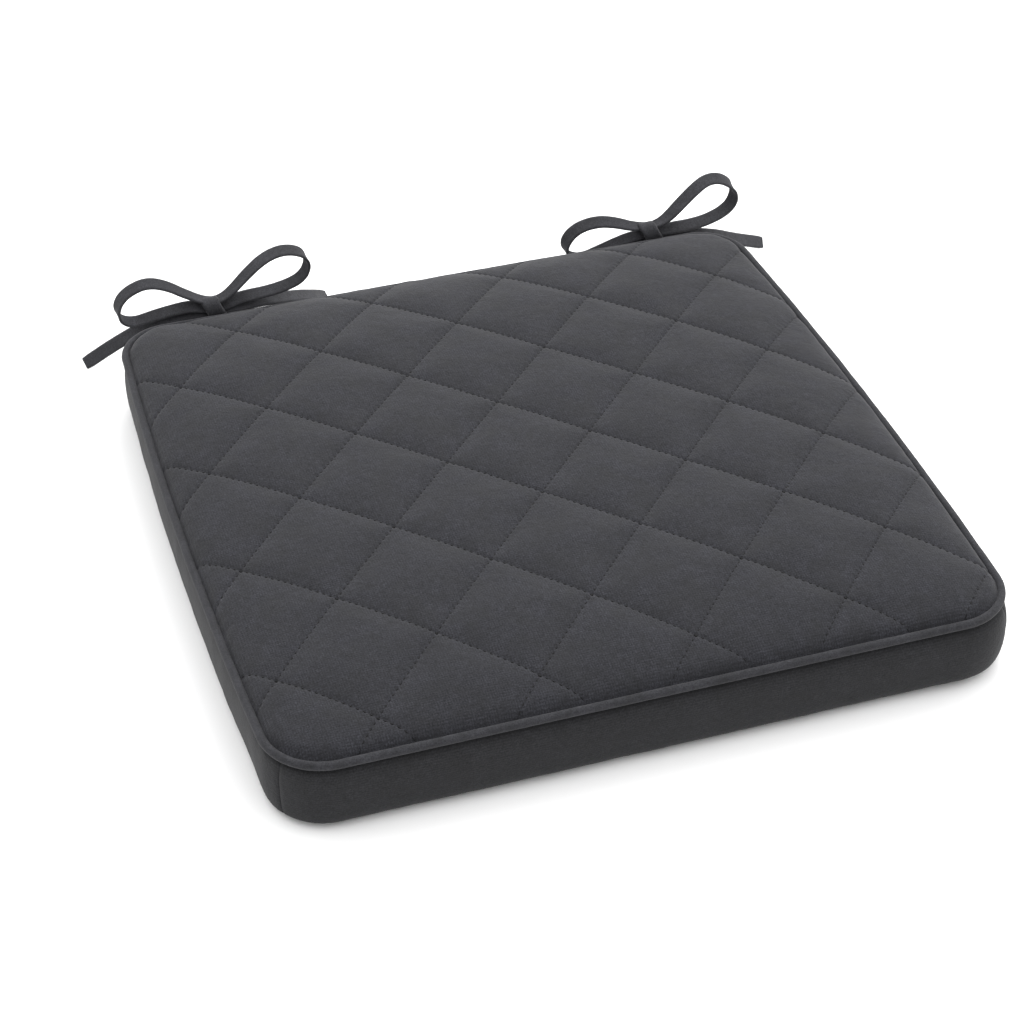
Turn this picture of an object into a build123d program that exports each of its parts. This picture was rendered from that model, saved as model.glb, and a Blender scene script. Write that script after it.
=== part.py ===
"""Boxed chair seat pad: quilted top, piped edge, zipped back boxing and two pairs of ties tied in bows.

Millimetres. The origin is the middle of the underside, +Z is up, the front edge faces -Y and the ties
are at the back edge, +Y.
"""
from build123d import *
import math
import os

os.makedirs("parts", exist_ok=True)

# ---- driving dimensions -------------------------------------------------------------------------
FRONT_WIDTH = 430.0  # along the piping line
BACK_WIDTH = 427.0
DEPTH = 438.6
SIDE_BOW = 6.3  # how far each side edge bows out between its corners
FRONT_CORNER = 35.0
BACK_CORNER = 31.6
PIPING_HEIGHT = 46.0  # floor to the middle of the piping
PIPING_RADIUS = 2.7
PIPING_CORD_RADIUS = 1.9
COVER = 0.8  # cover fabric
CROWN = 15.1  # rise of the top from its edge to the middle
CROWN_REACH = 41.4  # distance from the edge over which most of the crown rises
TOP_EDGE_RISE = 3.4  # how far the top stands above the middle of the piping beside it
QUILT_LOFT = 4.2  # wadding under the quilted face
QUILT_BACKING = 0.5
QUILT_CROSSING = (34.7, -0.5)  # one crossing of the quilting lines
QUILT_STEPS = ((47.5, 49.9), (44.4, -45.9))  # from it to the next crossing along each line
THREAD = 0.6
FOAM_TOP = 37.0

ZIP_HEIGHT = 22.0  # floor to the middle of the zip
ZIP_SLOT = 9.0  # height of the slot between the two back boxing strips
ZIP_PANEL = 178.0  # half length of the zipped back panel
ZIP_HALF = 150.0  # half length of the coil between its stops
ZIP_TRAVEL = 278.0  # how far the slider runs

TIE_WIDTH = 9.5
TIE_TUBE = 4.4  # diameter of the plain tube with about the same section as the flat tie
KNOT_WIDTH = 11.0
KNOT_DEPTH = 10.4
KNOT_HEIGHT = 12.4

FRONT = -DEPTH / 2
BACK = DEPTH / 2


# ---- plan outline and the curved surfaces built on it --------------------------------------------
def pad_outline(height, grow=0.0, softer=0.0):
    """The pad's plan at one height, `grow` outside the piping line, its corners `softer` mm rounder."""
    front_x = FRONT_WIDTH / 2 + grow
    back_x = BACK_WIDTH / 2 + grow
    end_y = DEPTH / 2 + grow
    side_x = (front_x + back_x) / 2 + SIDE_BOW
    with BuildSketch(Plane.XY.offset(height)) as outline:
        with BuildLine():
            Line((-front_x, -end_y), (front_x, -end_y))
            ThreePointArc((front_x, -end_y), (side_x, 0), (back_x, end_y))
            Line((back_x, end_y), (-back_x, end_y))
            ThreePointArc((-back_x, end_y), (-side_x, 0), (-front_x, -end_y))
        make_face()
        fillet(outline.vertices().group_by(Axis.Y)[0], FRONT_CORNER + grow + softer)
        fillet(outline.vertices().group_by(Axis.Y)[-1], BACK_CORNER + grow + softer)
    return outline.sketch


def crown_height(inset):
    """Height of the quilted surface `inset` mm inside the piping line."""
    edge = TOP_EDGE_RISE * (1 - math.exp(-inset / 2.4))
    return PIPING_HEIGHT + edge + CROWN * (1 - math.exp(-inset / CROWN_REACH))


CROWN_INSETS = [3.6, 9.0, 18.0, 34.0, 60.0, 100.0]


def crown_sections(below):
    """Plan outlines, edge to middle, of a surface lying `below` mm under the quilted face."""
    return [pad_outline(crown_height(inset) - below, -inset, 1.35 * inset) for inset in CROWN_INSETS]


def crowned_layer(top_below, bottom_below):
    """A layer of the quilted top between two depths under its surface."""
    edge = CROWN_INSETS[0]
    rim = pad_outline(crown_height(edge) - bottom_below, -edge, 1.35 * edge)
    layer = loft(crown_sections(top_below)) + extrude(rim, bottom_below - top_below)
    return layer - loft(crown_sections(bottom_below))


def boxing_sections(inward):
    """Plan outlines of the boxing's curved wall, `inward` mm inside its outer face."""
    profile = [(0.9, -6.0), (3.0, -1.4), (8.0, 2.1), (16.0, 3.7), (28.0, 3.8), (38.0, 1.6), (43.2, -0.7)]
    return [pad_outline(height, grow - inward) for height, grow in profile]


BOXING_WALL = loft(boxing_sections(0.0)) - loft(boxing_sections(COVER))
FRONT_SEAM_Y = -204.0  # the front strip turns the corners and is seamed here to the side strips
STRIP_TOP = PIPING_HEIGHT


def save(part, name):
    part.label = name
    export_step(part, f"parts/{name}.step")


# ---- cover --------------------------------------------------------------------------------------
with BuildPart() as bottom_panel:
    extrude(pad_outline(0.0, -6.0), COVER)
save(bottom_panel.part, "bottom_panel")

with BuildPart() as boxing_front:
    add(BOXING_WALL)
    split(bisect_by=Plane.XZ.offset(-FRONT_SEAM_Y), keep=Keep.TOP)
save(boxing_front.part, "boxing_front")

for side, strip in ((-1, "boxing_left"), (1, "boxing_right")):
    with BuildPart() as boxing_side:
        add(BOXING_WALL)
        split(bisect_by=Plane.XZ.offset(-FRONT_SEAM_Y), keep=Keep.BOTTOM)
        with BuildSketch():
            with Locations((side * FRONT_WIDTH / 2, 0)):
                Rectangle(FRONT_WIDTH, DEPTH + 60)
        extrude(amount=STRIP_TOP, mode=Mode.INTERSECT)
        with BuildSketch():
            with Locations((0, BACK)):
                Rectangle(2 * ZIP_PANEL, 80)
        extrude(amount=STRIP_TOP, mode=Mode.SUBTRACT)
    save(boxing_side.part, strip)

# The back boxing is two strips. Each has its edge turned in to the zip tape.
TAPE_FACE = BACK - 3.6  # outer face of the zip tapes
TURN_IN = BACK + 3.4 - TAPE_FACE  # depth of the turned-in edge

for side, strip in ((1, "boxing_back_upper"), (-1, "boxing_back_lower")):
    slot_edge = ZIP_HEIGHT + side * ZIP_SLOT / 2
    with BuildPart() as boxing_back:
        add(BOXING_WALL)
        with BuildSketch():
            with Locations((0, BACK)):
                Rectangle(2 * ZIP_PANEL, 80)
        extrude(amount=STRIP_TOP, mode=Mode.INTERSECT)
        split(bisect_by=Plane.XY.offset(slot_edge), keep=Keep.TOP if side > 0 else Keep.BOTTOM)
        with Locations((0, TAPE_FACE + 0.1 + TURN_IN / 2, slot_edge + side * COVER / 2)):
            Box(2 * ZIP_PANEL, TURN_IN, COVER)
    save(boxing_back.part, strip)

QUILT_LAYERS = {
    "quilted_top_face": crowned_layer(0.0, COVER),
    "quilt_wadding": crowned_layer(COVER, COVER + QUILT_LOFT),
    "quilt_backing": crowned_layer(COVER + QUILT_LOFT, COVER + QUILT_LOFT + QUILT_BACKING),
}
for name, layer in QUILT_LAYERS.items():
    with BuildPart() as quilt_layer:
        add(layer)
    save(quilt_layer.part, name)

# The quilting thread lies on the face along two sets of parallel lines.
DIAMOND_AREA = abs(QUILT_STEPS[0][0] * QUILT_STEPS[1][1] - QUILT_STEPS[0][1] * QUILT_STEPS[1][0])
LINE_COUNT = 11
THREAD_LAYER = crowned_layer(-THREAD, 0.0)

with BuildPart() as quilt_stitching:
    add(THREAD_LAYER)
    with BuildSketch(Plane.XY.offset(PIPING_HEIGHT)):
        for step_x, step_y in QUILT_STEPS:
            line_angle = math.degrees(math.atan2(step_y, step_x))
            line_spacing = DIAMOND_AREA / math.hypot(step_x, step_y)
            with Locations(Location((*QUILT_CROSSING, 0), (0, 0, line_angle))):
                with GridLocations(0, line_spacing, 1, LINE_COUNT):
                    Rectangle(700, THREAD)
    extrude(amount=30, mode=Mode.INTERSECT)
save(quilt_stitching.part, "quilt_stitching")

PIPING_PATH = pad_outline(PIPING_HEIGHT).face().outer_wire()
PIPING_PLANE = Plane(PIPING_PATH @ 0, z_dir=PIPING_PATH % 0)

with BuildPart() as piping_cord:
    with BuildSketch(PIPING_PLANE):
        Circle(PIPING_CORD_RADIUS)
    sweep(path=PIPING_PATH)
save(piping_cord.part, "piping_cord")

with BuildPart() as piping_cover:
    with BuildSketch(PIPING_PLANE):
        Circle(PIPING_RADIUS)
        Circle(PIPING_CORD_RADIUS, mode=Mode.SUBTRACT)
    sweep(path=PIPING_PATH)
save(piping_cover.part, "piping_cover")

# The piping strip's seam allowance hangs down inside the boxing.
with BuildPart() as piping_flange:
    extrude(pad_outline(38.5, -1.6), 5.2)
    extrude(pad_outline(38.5, -2.2), 5.2, mode=Mode.SUBTRACT)
save(piping_flange.part, "piping_flange")

# ---- filling ------------------------------------------------------------------------------------
with BuildPart() as foam_core:
    loft([pad_outline(height, grow) for height, grow in
          [(1.3, -8.0), (3.4, -4.0), (8.0, 0.4), (16.0, 2.3), (28.0, 2.4), (FOAM_TOP, 0.4)]])
    # The foam gives way behind the zip.
    with Locations((0, BACK, ZIP_HEIGHT)):
        Box(2 * ZIP_PANEL + 8, 18, 32, mode=Mode.SUBTRACT)
save(foam_core.part, "foam_core")

FIBRE_DEPTH = COVER + QUILT_LOFT + QUILT_BACKING + 0.3
with BuildPart() as fibre_topper:
    loft(crown_sections(FIBRE_DEPTH))
    rim_height = crown_height(CROWN_INSETS[0]) - FIBRE_DEPTH
    extrude(pad_outline(FOAM_TOP + 0.3, -CROWN_INSETS[0], 1.35 * CROWN_INSETS[0]), rim_height - FOAM_TOP - 0.3)
save(fibre_topper.part, "fibre_topper")

# ---- zip ----------------------------------------------------------------------------------------
TAPE = 0.6
TAPE_WIDTH = 13.0
COIL = 1.8
COIL_GAP = 0.6  # half the gap between the coils, in which the slider's post runs

for side, edge in ((1, "upper"), (-1, "lower")):
    with BuildPart() as zip_tape:
        with Locations((0, TAPE_FACE - TAPE / 2, ZIP_HEIGHT + side * (COIL_GAP + TAPE_WIDTH / 2))):
            Box(2 * ZIP_PANEL, TAPE, TAPE_WIDTH)
    save(zip_tape.part, f"zip_tape_{edge}")
    with BuildPart() as zip_coil:
        with Locations((0, TAPE_FACE + COIL / 2, ZIP_HEIGHT + side * (COIL_GAP + COIL / 2))):
            Box(2 * ZIP_HALF, COIL, COIL)
        fillet(zip_coil.edges().filter_by(Axis.X).group_by(Axis.Y)[-1], 0.7)
    save(zip_coil.part, f"zip_coil_{edge}")

with BuildPart() as zip_stops:
    with Locations(*[(side * (ZIP_HALF + 1.6), TAPE_FACE + 1.2, ZIP_HEIGHT) for side in (-1, 1)]):
        Box(2.8, 2.4, 6.4)
    fillet(zip_stops.edges().filter_by(Axis.X), 0.6)
save(zip_stops.part, "zip_stops")

# The slider stands at the closed end, +X, and opens towards -X.
SLIDER_X = ZIP_TRAVEL / 2
SLIDER_LENGTH = 9.0
SLIDER_WIDTH = 7.6
SLIDER_PLATE = 1.0
PLATE_Y = TAPE_FACE + COIL + 0.5  # inner face of the outer plate
INNER_Y = TAPE_FACE - TAPE - 0.4  # outer face of the inner plate
PIN_Y = PLATE_Y + SLIDER_PLATE + 1.3
PIN_RADIUS = 0.6
PULL_THICKNESS = 1.2
PULL_LENGTH = 17.0

with BuildPart() as zip_slider:
    with BuildSketch(Plane.XZ.offset(-PLATE_Y)):
        with Locations((SLIDER_X, ZIP_HEIGHT)):
            RectangleRounded(SLIDER_LENGTH, SLIDER_WIDTH, 1.8)
    extrude(amount=-SLIDER_PLATE)
    with BuildSketch(Plane.XZ.offset(-INNER_Y)):
        with Locations((SLIDER_X, ZIP_HEIGHT)):
            RectangleRounded(SLIDER_LENGTH, SLIDER_WIDTH, 1.8)
    extrude(amount=SLIDER_PLATE)
    # Post between the coils, side flanges over them, and the two lugs that hold the pull's pin.
    with Locations((SLIDER_X, (INNER_Y + PLATE_Y) / 2, ZIP_HEIGHT)):
        Box(3.0, PLATE_Y - INNER_Y + 0.4, 0.7)
    flange_depth = PLATE_Y - TAPE_FACE - 0.4
    for side in (-1, 1):
        with Locations((SLIDER_X, PLATE_Y - flange_depth / 2 + 0.1, ZIP_HEIGHT + side * 3.35)):
            Box(SLIDER_LENGTH - 3.6, flange_depth + 0.2, 0.7)
        with Locations((SLIDER_X, PLATE_Y + SLIDER_PLATE + 0.9, ZIP_HEIGHT + side * 2.3)):
            Box(2.6, 2.2, 0.9)
    with BuildSketch(Plane.XY.offset(ZIP_HEIGHT - 2.6)):
        with Locations((SLIDER_X, PIN_Y)):
            Circle(PIN_RADIUS)
    extrude(amount=5.2)
save(zip_slider.part, "zip_slider")

with BuildPart() as zip_pull:
    with BuildSketch(Plane.XZ.offset(-(PIN_Y - PULL_THICKNESS / 2))):
        with Locations((SLIDER_X - 2.0 - PULL_LENGTH / 2, ZIP_HEIGHT)):
            SlotOverall(PULL_LENGTH, 6.4)
        with Locations((SLIDER_X - 4.0, ZIP_HEIGHT)):
            Rectangle(8.0, 3.2)
        with Locations((SLIDER_X + 2.5 - PULL_LENGTH, ZIP_HEIGHT)):
            SlotOverall(5.0, 2.6, mode=Mode.SUBTRACT)
    extrude(amount=-PULL_THICKNESS)
    with BuildSketch(Plane.XY.offset(ZIP_HEIGHT - 1.6)):
        with Locations((SLIDER_X, PIN_Y)):
            Circle(PIN_RADIUS + 0.62)
    extrude(amount=3.2)
    with BuildSketch(Plane.XY.offset(ZIP_HEIGHT - 2.0)):
        with Locations((SLIDER_X, PIN_Y)):
            Circle(PIN_RADIUS + 0.06)
    extrude(amount=4.0, mode=Mode.SUBTRACT)
save(zip_pull.part, "zip_pull")

# ---- ties ---------------------------------------------------------------------------------------
# Each tie starts in its knot, makes one loop of the bow, goes back through the knot and ends in the
# tail on the other side. The tails reach the surface that the pad lies on. The flat tie is a round
# tube here, of about the same section.
TIE_ROUTES = {
    "tie_left_a": [
        (-144, 230, 55.5), (-152.5, 230, 56), (-164.5, 231, 60.5), (-178, 233, 69.5), (-190, 236, 72),
        (-201.5, 237.5, 67.5), (-209, 239, 60), (-211.5, 239, 51.5), (-208, 238.5, 44.5), (-200, 237, 42.5),
        (-189, 234.5, 46.5), (-176, 231.5, 50.5), (-161, 230, 52.5), (-147, 230, 49.5), (-132, 230.5, 46.5),
        (-118, 234.5, 44.5), (-105.5, 241.5, 39.5), (-93, 251, 33), (-81.5, 261.5, 25.5), (-71, 272, 17),
        (-63, 282.5, 9), (-57.5, 289.5, 3.5)],
    "tie_left_b": [
        (-153, 230, 56), (-144.5, 230, 55.5), (-135.5, 230.5, 58.5), (-124, 232, 68.5), (-112, 234.5, 76.5),
        (-100, 237, 79), (-89, 239.5, 76), (-81.5, 242, 69.5), (-80, 242, 61), (-85, 240.5, 53.5),
        (-96, 239, 50), (-111, 235.5, 50), (-127, 232, 51.5), (-141, 230, 50.5), (-155, 230, 47.5),
        (-171, 230.5, 46), (-183.5, 233, 43.5), (-194.5, 237.5, 37), (-206, 243.5, 28), (-217, 250, 18),
        (-227.5, 254.5, 9), (-234, 256, 4.5)],
    "tie_right_a": [
        (165.5, 230, 53), (159.5, 230, 53.5), (148.5, 231, 54.5), (136, 233, 59), (124.5, 236, 60),
        (112.5, 238, 57), (104.5, 239.5, 50), (101.5, 240, 41.5), (105.5, 239.5, 33.5), (114, 238, 30.5),
        (127, 236, 36), (141, 233.5, 42.5), (153.5, 230.5, 47.5), (164.5, 230, 46), (178.5, 230, 43),
        (192.5, 231.5, 40), (205.5, 235, 35), (217.5, 240, 29), (230, 246, 21), (242, 252.5, 13.5),
        (253.5, 256, 8), (260.5, 258.5, 4.5)],
    "tie_right_b": [
        (156.5, 230, 53), (165, 230, 53.5), (173.5, 230.5, 56.5), (184.5, 233, 65), (195.5, 236, 72.5),
        (205.5, 239.5, 76.5), (216, 242, 75), (225, 243, 69), (229, 243, 61.5), (227.5, 242, 53.5),
        (220, 240.5, 48), (207.5, 237, 46), (194, 234, 46), (180, 230.5, 48), (167.5, 230, 48),
        (153.5, 230.5, 44.5), (144.5, 231.5, 39.5), (136.5, 236, 32), (128, 243, 24), (119.5, 250, 15.5),
        (112, 256, 8), (106.5, 260.5, 3)],
}
KNOTS = {"left": (-148.3, 230.0, 52.0), "right": (161.3, 230.0, 49.5)}


def bend_radii(route):
    """As large a radius at each corner as its two runs allow."""
    radii = []
    for before, corner, after in zip(route, route[1:], route[2:]):
        run_in = Vector(*corner) - Vector(*before)
        run_out = Vector(*after) - Vector(*corner)
        half_turn = math.radians(run_in.get_angle(run_out) / 2)
        radii.append(0.45 * min(run_in.length, run_out.length) / math.tan(half_turn))
    return radii


knots = {}
for side, centre in KNOTS.items():
    with BuildPart() as tie_knot:
        with BuildSketch(Plane.YZ.offset(centre[0] - KNOT_WIDTH / 2)):
            with Locations(centre[1:]):
                Ellipse(KNOT_DEPTH / 2, KNOT_HEIGHT / 2)
        extrude(amount=KNOT_WIDTH)
        fillet(tie_knot.edges(), 1.0)
    knots[side] = tie_knot.part
    save(tie_knot.part, f"tie_{side}_knot")

    # The sewn root of both ties: out of the seam under the piping and up to the knot.
    knot_base = centre[2] - KNOT_HEIGHT / 2
    with BuildPart() as tie_root:
        with BuildSketch(Plane.YZ.offset(centre[0] - TIE_WIDTH / 2)):
            with BuildLine() as root_line:
                FilletPolyline((BACK + 0.3, 42.6), (225.5, 42.4), (230.0, knot_base + 1.5), radius=1.5)
            trace(root_line.line, 1.4)
        extrude(amount=TIE_WIDTH)
        add(tie_knot.part, mode=Mode.SUBTRACT)
    save(tie_root.part, f"tie_{side}_root")

for name, route in TIE_ROUTES.items():
    radii = bend_radii(route)
    with BuildPart() as tie:
        with BuildLine() as tie_line:
            FilletPolyline(*route, radius=radii)
        tie_path = tie_line.wire()
        with BuildSketch(Plane(tie_path @ 0, z_dir=tie_path % 0)) as section:
            Circle(TIE_TUBE / 2)
        sweep(path=tie_path)
        whole = tie.part.volume
        add(knots[name.split("_")[1]], mode=Mode.SUBTRACT)
    ratio = whole / (section.sketch.area * tie_path.length)
    print(f"{name}: length {tie_path.length:.0f} mm, volume / (section x length) {ratio:.3f}")
    print("  radii", [round(radius, 1) for radius in radii])
    save(tie.part, name)
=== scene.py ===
"""Look of the boxed chair seat pad: quilted suede-like cover, corded edge, zipped back and tied bows.

Metres, in the frame of the CAD part: the pad's underside is on z = 0, its front edge faces -Y.
"""

import math

import bpy
import numpy as np
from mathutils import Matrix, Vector, noise
from mathutils.bvhtree import BVHTree


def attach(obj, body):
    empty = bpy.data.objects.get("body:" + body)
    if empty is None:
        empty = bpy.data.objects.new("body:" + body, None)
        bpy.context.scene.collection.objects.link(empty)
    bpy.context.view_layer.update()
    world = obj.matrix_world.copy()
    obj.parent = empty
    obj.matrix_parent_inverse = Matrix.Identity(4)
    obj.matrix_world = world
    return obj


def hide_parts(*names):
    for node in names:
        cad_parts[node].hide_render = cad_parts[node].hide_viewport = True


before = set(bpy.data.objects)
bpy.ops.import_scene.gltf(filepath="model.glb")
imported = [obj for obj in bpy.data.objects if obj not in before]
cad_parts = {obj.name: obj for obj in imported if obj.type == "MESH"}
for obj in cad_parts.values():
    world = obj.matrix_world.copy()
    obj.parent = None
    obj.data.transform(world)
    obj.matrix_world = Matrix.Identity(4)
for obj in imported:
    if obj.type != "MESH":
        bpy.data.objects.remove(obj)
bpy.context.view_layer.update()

# ---- driving dimensions, metres -----------------------------------------------------------------
FRONT_WIDTH = 0.430
BACK_WIDTH = 0.427
DEPTH = 0.4386
SIDE_BOW = 0.0063
FRONT_CORNER = 0.0350
BACK_CORNER = 0.0316
PIPING_HEIGHT = 0.046
PIPING_RADIUS = 0.0025
COVER = 0.0008
CROWN = 0.0136
CROWN_REACH = 0.0414
TOP_EDGE_RISE = 0.0050
GROOVE_WIDTH = 0.0027  # half width of the gap that the piping fills, where the top starts to rise
FRONT_SEAM_Y = -0.204
ZIP_PANEL = 0.178
ZIP_HALF = 0.150
ZIP_HEIGHT = 0.022
ZIP_SLOT = 0.009
TAPE_FACE = DEPTH / 2 - 0.0036
TIE_WIDTH = 0.0095

# The quilting lines cross here, and these are the steps to the next crossing along each line.
CROSSING = np.array([0.0347, -0.0005])
STEP_A = np.array([0.0475, 0.0499])
STEP_B = np.array([0.0444, -0.0459])
STITCHES_A = 16  # stitches between two crossings, along each step
STITCHES_B = 15
STITCH_SHARE = 0.26  # a stitch reaches this share of its pitch either way
PUFF = 0.0031  # how far the padding stands above the quilting lines
QUILT_GROOVE = 0.0006
CELL = abs(STEP_A[0] * STEP_B[1] - STEP_A[1] * STEP_B[0])
SPACING_A = CELL / np.linalg.norm(STEP_B)  # between lines that run along step B
SPACING_B = CELL / np.linalg.norm(STEP_A)
LATTICE_REACH = 7  # the whole pad lies within this many steps of the crossing

# Base colours of the four cuts of the one suede. The boxing's is darker than the top's, as painted shade on
# the upright sides; the ties' is lighter, as painted light on the bows; the piping's is a little lighter
# than the top's.
TOP_COLOUR = (0.0160, 0.0162, 0.0196)
BOXING_SHADED_COLOUR = (0.0155, 0.0156, 0.0172)
PIPING_COLOUR = (0.0235, 0.0236, 0.0270)
TIE_LIT_COLOUR = (0.0305, 0.0306, 0.0345)


# ---- camera, floor and light --------------------------------------------------------------------
def aim(obj, target):
    obj.rotation_euler = (Vector(target) - obj.location).to_track_quat("-Z", "Y").to_euler()


def link(name, data):
    obj = bpy.data.objects.new(name, data)
    bpy.context.scene.collection.objects.link(obj)
    return obj


def make_camera():
    camera = link("camera", bpy.data.cameras.new("camera"))
    camera.data.sensor_width = 36
    camera.data.lens = 86.898
    camera.location = (-0.39154, -1.14796, 0.94080)
    aim(camera, (-0.01905, -0.01248, 0.02283))
    bpy.context.scene.camera = camera


def make_light(name, location, size, power, target=(0, 0, 0.03)):
    light = link(name, bpy.data.lights.new(name, "AREA"))
    light.data.shape = "DISK"
    light.data.size = size
    light.data.energy = power
    light.location = location
    aim(light, target)


TENT_LIGHT = (0.32, 0.44, 0.84)
TENT_DIM = 0.55
TENT_BRIGHT = 2.3


def make_tent():
    """White surroundings, brightest over the back right and dimmer towards the front."""
    world = bpy.data.worlds.new("studio")
    bpy.context.scene.world = world
    world.use_nodes = True
    nodes, links = world.node_tree.nodes, world.node_tree.links
    toward_light = nodes.new("ShaderNodeVectorMath")
    toward_light.operation = "DOT_PRODUCT"
    toward_light.inputs[1].default_value = TENT_LIGHT
    span = nodes.new("ShaderNodeMapRange")
    span.interpolation_type = "SMOOTHSTEP"
    span.inputs["From Min"].default_value = -0.5
    span.inputs["From Max"].default_value = 1.0
    span.inputs["To Min"].default_value = TENT_DIM
    span.inputs["To Max"].default_value = TENT_BRIGHT
    links.new(nodes.new("ShaderNodeTexCoord").outputs["Generated"], toward_light.inputs[0])
    links.new(toward_light.outputs["Value"], span.inputs["Value"])
    links.new(span.outputs["Result"], nodes["Background"].inputs["Strength"])
    nodes["Background"].inputs["Color"].default_value = (1.0, 1.0, 1.0, 1.0)


def make_floor():
    half = 4
    corners = [(-half, -half, 0), (half, -half, 0), (half, half, 0), (-half, half, 0)]
    floor = mesh_object("floor", corners, [(0, 1, 2, 3)])
    floor.location.z = -0.0003
    material = bpy.data.materials.new("floor")
    material.use_nodes = True
    shader = material.node_tree.nodes["Principled BSDF"]
    shader.inputs["Base Color"].default_value = (0.89, 0.89, 0.89, 1.0)
    shader.inputs["Roughness"].default_value = 0.9
    shader.inputs["Specular IOR Level"].default_value = 0.1
    floor.data.materials.append(material)


# ---- materials ----------------------------------------------------------------------------------
class Surface:
    """A Principled material whose colour, roughness and relief are built from layers."""

    def __init__(self, name, colour, roughness=0.9, sheen=0.0, specular=0.25, metallic=0.0):
        self.material = bpy.data.materials.new(name)
        self.material.use_nodes = True
        self.nodes = self.material.node_tree.nodes
        self.links = self.material.node_tree.links
        self.shader = self.nodes["Principled BSDF"]
        self.shader.inputs["Roughness"].default_value = roughness
        self.shader.inputs["Specular IOR Level"].default_value = specular
        self.shader.inputs["Metallic"].default_value = metallic
        self.shader.inputs["Sheen Weight"].default_value = sheen
        self.shader.inputs["Sheen Roughness"].default_value = 0.45
        self.coordinates = self.nodes.new("ShaderNodeTexCoord").outputs["Object"]
        base = self.nodes.new("ShaderNodeRGB")
        base.outputs[0].default_value = (*colour, 1.0)
        self.colour = base.outputs[0]
        self.normal = None

    def noise(self, size, detail=2.0, stretch=(1, 1, 1), distortion=0.0):
        """Noise whose features are about `size` metres across."""
        mapping = self.nodes.new("ShaderNodeMapping")
        mapping.inputs["Scale"].default_value = [factor / size for factor in stretch]
        self.links.new(self.coordinates, mapping.inputs["Vector"])
        texture = self.nodes.new("ShaderNodeTexNoise")
        texture.inputs["Scale"].default_value = 1.0
        texture.inputs["Detail"].default_value = detail
        texture.inputs["Distortion"].default_value = distortion
        self.links.new(mapping.outputs["Vector"], texture.inputs["Vector"])
        return texture.outputs["Fac"]

    def weave(self, pitch, direction="DIAGONAL", distortion=0.4):
        """Fine parallel ribs, `pitch` metres apart."""
        texture = self.nodes.new("ShaderNodeTexWave")
        texture.bands_direction = direction
        texture.inputs["Scale"].default_value = 0.314 / pitch  # at scale 1 the bands are 0.314 m apart
        texture.inputs["Distortion"].default_value = distortion
        texture.inputs["Detail"].default_value = 1.0
        self.links.new(self.coordinates, texture.inputs["Vector"])
        return texture.outputs["Fac"]

    def tint(self, factor, dark, light, low=0.3, high=0.7):
        """Multiplies the colour by a value from dark to light as the factor goes from low to high."""
        span = self.nodes.new("ShaderNodeMapRange")
        span.inputs["From Min"].default_value = low
        span.inputs["From Max"].default_value = high
        span.inputs["To Min"].default_value = dark
        span.inputs["To Max"].default_value = light
        self.links.new(factor, span.inputs["Value"])
        mix = self.nodes.new("ShaderNodeVectorMath")
        mix.operation = "SCALE"
        self.links.new(self.colour, mix.inputs[0])
        self.links.new(span.outputs["Result"], mix.inputs["Scale"])
        self.colour = mix.outputs["Vector"]

    def relief(self, factor, height, strength=1.0):
        """Bump whose full range stands `height` metres proud."""
        bump = self.nodes.new("ShaderNodeBump")
        bump.inputs["Distance"].default_value = height
        bump.inputs["Strength"].default_value = strength
        self.links.new(factor, bump.inputs["Height"])
        if self.normal is not None:
            self.links.new(self.normal, bump.inputs["Normal"])
        self.normal = bump.outputs["Normal"]

    def worn(self, factor, smooth, rough, low=0.3, high=0.7):
        """Roughness that varies over the surface."""
        span = self.nodes.new("ShaderNodeMapRange")
        span.inputs["From Min"].default_value = low
        span.inputs["From Max"].default_value = high
        span.inputs["To Min"].default_value = smooth
        span.inputs["To Max"].default_value = rough
        self.links.new(factor, span.inputs["Value"])
        self.links.new(span.outputs["Result"], self.shader.inputs["Roughness"])

    def finish(self):
        self.links.new(self.colour, self.shader.inputs["Base Color"])
        if self.normal is not None:
            self.links.new(self.normal, self.shader.inputs["Normal"])
        return self.material


def suede(name, colour, mottle, speckle, sheen, ribs=()):
    """Brushed microfibre: soft clouds where the nap lies another way, a fine weave and a short pile.

    ribs are the axes across which the weave's threads show."""
    nap = 0.00022
    surface = Surface(name, colour, sheen=sheen)
    clouds = surface.noise(0.016, 3.5, distortion=0.6)
    surface.tint(clouds, 1 - mottle, 1 + mottle)
    surface.tint(surface.noise(0.0035, 2.0), 1 - mottle / 2, 1 + mottle / 2)
    grain = surface.noise(0.0008, 2.0)
    surface.tint(grain, 1 - speckle, 1 + speckle)
    for direction in ribs:
        surface.tint(surface.weave(0.0015, direction, 1.2), 0.88, 1.12, 0.1, 0.9)
    surface.worn(clouds, 0.82, 0.96)
    surface.relief(surface.noise(0.0022, 2.0), nap)
    surface.relief(grain, nap * 0.6)
    return surface.finish()


def thread_painted_shade_material():
    # Near-black: partly the thread's own dark colour and partly painted shade of the dimples that the
    # stitches pull into the suede.
    surface = Surface("quilting_thread_painted_shade", (0.0045, 0.0045, 0.0052), roughness=0.7, specular=0.2)
    twist = surface.weave(0.0004, "DIAGONAL", 0.2)
    surface.tint(twist, 0.7, 1.2, 0.2, 0.8)
    surface.relief(twist, 0.00006)
    surface.worn(surface.noise(0.004), 0.5, 0.75)
    return surface.finish()


def fibre_material(name, colour, size):
    """Carded polyester fibre: soft tangled strands."""
    surface = Surface(name, colour, sheen=0.4)
    strands = surface.noise(size, 4.0, (1, 0.25, 1), 2.0)
    surface.tint(strands, 0.8, 1.08)
    surface.relief(strands, size * 0.5)
    surface.worn(strands, 0.85, 1.0)
    return surface.finish()


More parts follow.
